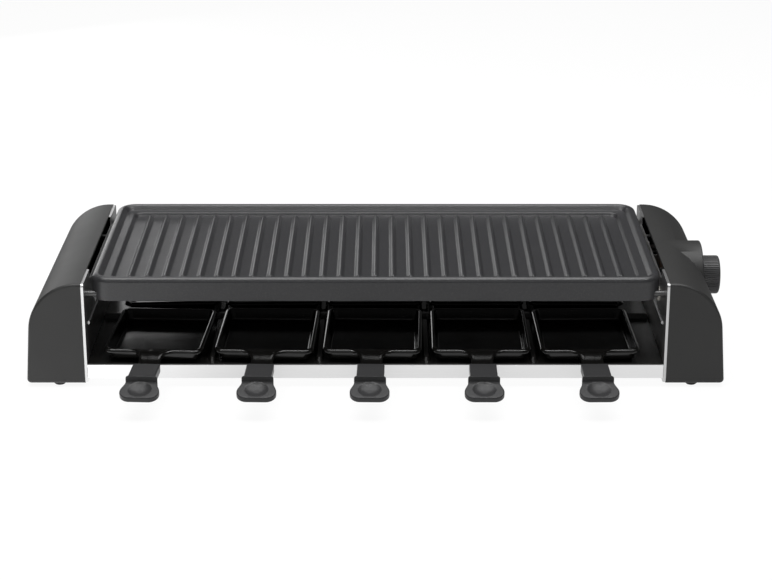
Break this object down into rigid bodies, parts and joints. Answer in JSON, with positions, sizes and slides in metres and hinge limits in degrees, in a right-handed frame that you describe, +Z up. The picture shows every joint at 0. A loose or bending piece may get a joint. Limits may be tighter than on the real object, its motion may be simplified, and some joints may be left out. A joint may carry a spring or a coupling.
{
  "type": "table raclette grill",
  "caption": "Black table grill: ribbed plate between two rounded side panels, small pans with grips slid in under a tube heater from both long sides, fluted knob.",
  "frame": {"origin": "centre of the whole outline at the height of the table", "axes": "+X along the grill towards the knob, +Y from the front row of pans to the rear row, +Z up from the table"},
  "size_m": [0.6334, 0.3902, 0.1011],
  "materials": {
    "panel_plastic": "fine spark-eroded satin",
    "lining_steel": "brushed along its length",
    "tray_enamel": "gloss enamel",
    "coated_aluminium": "satin non-stick coating",
    "stud_steel": "plated",
    "heater_sheath": "heat-tinted",
    "bush_ceramic": "unglazed",
    "bracket_steel": "galvanised",
    "thermostat_plastic": "phenolic",
    "knob_plastic": "satin",
    "terminal_plastic": "natural nylon",
    "fuse_ceramic": "unglazed",
    "lead_insulation": "silicone",
    "gland_rubber": "matt",
    "foot_rubber": "matt",
    "pan_coating": "gloss non-stick coating",
    "grip_plastic": "satin"
  },
  "bodies": {
    "root": {"right_side_panel": "panel_plastic", "left_side_panel": "panel_plastic", "right_inner_plate": "lining_steel", "left_inner_plate": "lining_steel", "base_plate": "lining_steel", "pan_tray": "tray_enamel", "plate_rest_studs": "stud_steel", "heating_element": "heater_sheath", "heater_bushes": "bush_ceramic", "heater_clips": "bracket_steel", "thermostat_bracket": "bracket_steel", "thermostat": "thermostat_plastic", "terminal_block": "terminal_plastic", "thermal_fuse": "fuse_ceramic", "internal_leads": "lead_insulation", "cord_gland": "gland_rubber", "panel_screws": "stud_steel", "base_screws": "stud_steel", "foot_front_left": "foot_rubber", "foot_front_right": "foot_rubber", "foot_rear_left": "foot_rubber", "foot_rear_right": "foot_rubber"},
    "knob": {"control_knob": "knob_plastic", "thermostat_spindle": "stud_steel"},
    "grill_plate": {"grill_plate": "coated_aluminium"},
    "pan_front_1": {"pan_front_1": "pan_coating", "grip_front_1": "grip_plastic"},
    "pan_front_2": {"pan_front_2": "pan_coating", "grip_front_2": "grip_plastic"},
    "pan_front_3": {"pan_front_3": "pan_coating", "grip_front_3": "grip_plastic"},
    "pan_front_4": {"pan_front_4": "pan_coating", "grip_front_4": "grip_plastic"},
    "pan_front_5": {"pan_front_5": "pan_coating", "grip_front_5": "grip_plastic"},
    "pan_rear_1": {"pan_rear_1": "pan_coating", "grip_rear_1": "grip_plastic"},
    "pan_rear_2": {"pan_rear_2": "pan_coating", "grip_rear_2": "grip_plastic"},
    "pan_rear_3": {"pan_rear_3": "pan_coating", "grip_rear_3": "grip_plastic"},
    "pan_rear_4": {"pan_rear_4": "pan_coating", "grip_rear_4": "grip_plastic"},
    "pan_rear_5": {"pan_rear_5": "pan_coating", "grip_rear_5": "grip_plastic"}
  },
  "joints": [
    {"name": "knob_turn", "type": "hinge", "parent": "root", "child": "knob", "pos_m": [0.31674, 0, 0.0656], "axis": [1, 0, 0], "range_deg": [0, 270]},
    {"name": "grill_plate_lift", "type": "slide", "parent": "root", "child": "grill_plate", "axis": [0, 0, 1], "range_m": [0, 0.06]},
    {"name": "pan_front_1_slide", "type": "slide", "parent": "root", "child": "pan_front_1", "axis": [0, -1, 0], "range_m": [0, 0.125]},
    {"name": "pan_front_2_slide", "type": "slide", "parent": "root", "child": "pan_front_2", "axis": [0, -1, 0], "range_m": [0, 0.125]},
    {"name": "pan_front_3_slide", "type": "slide", "parent": "root", "child": "pan_front_3", "axis": [0, -1, 0], "range_m": [0, 0.125]},
    {"name": "pan_front_4_slide", "type": "slide", "parent": "root", "child": "pan_front_4", "axis": [0, -1, 0], "range_m": [0, 0.125]},
    {"name": "pan_front_5_slide", "type": "slide", "parent": "root", "child": "pan_front_5", "axis": [0, -1, 0], "range_m": [0, 0.125]},
    {"name": "pan_rear_1_slide", "type": "slide", "parent": "root", "child": "pan_rear_1", "axis": [0, 1, 0], "range_m": [0, 0.125]},
    {"name": "pan_rear_2_slide", "type": "slide", "parent": "root", "child": "pan_rear_2", "axis": [0, 1, 0], "range_m": [0, 0.125]},
    {"name": "pan_rear_3_slide", "type": "slide", "parent": "root", "child": "pan_rear_3", "axis": [0, 1, 0], "range_m": [0, 0.125]},
    {"name": "pan_rear_4_slide", "type": "slide", "parent": "root", "child": "pan_rear_4", "axis": [0, 1, 0], "range_m": [0, 0.125]},
    {"name": "pan_rear_5_slide", "type": "slide", "parent": "root", "child": "pan_rear_5", "axis": [0, 1, 0], "range_m": [0, 0.125]}
  ]
}
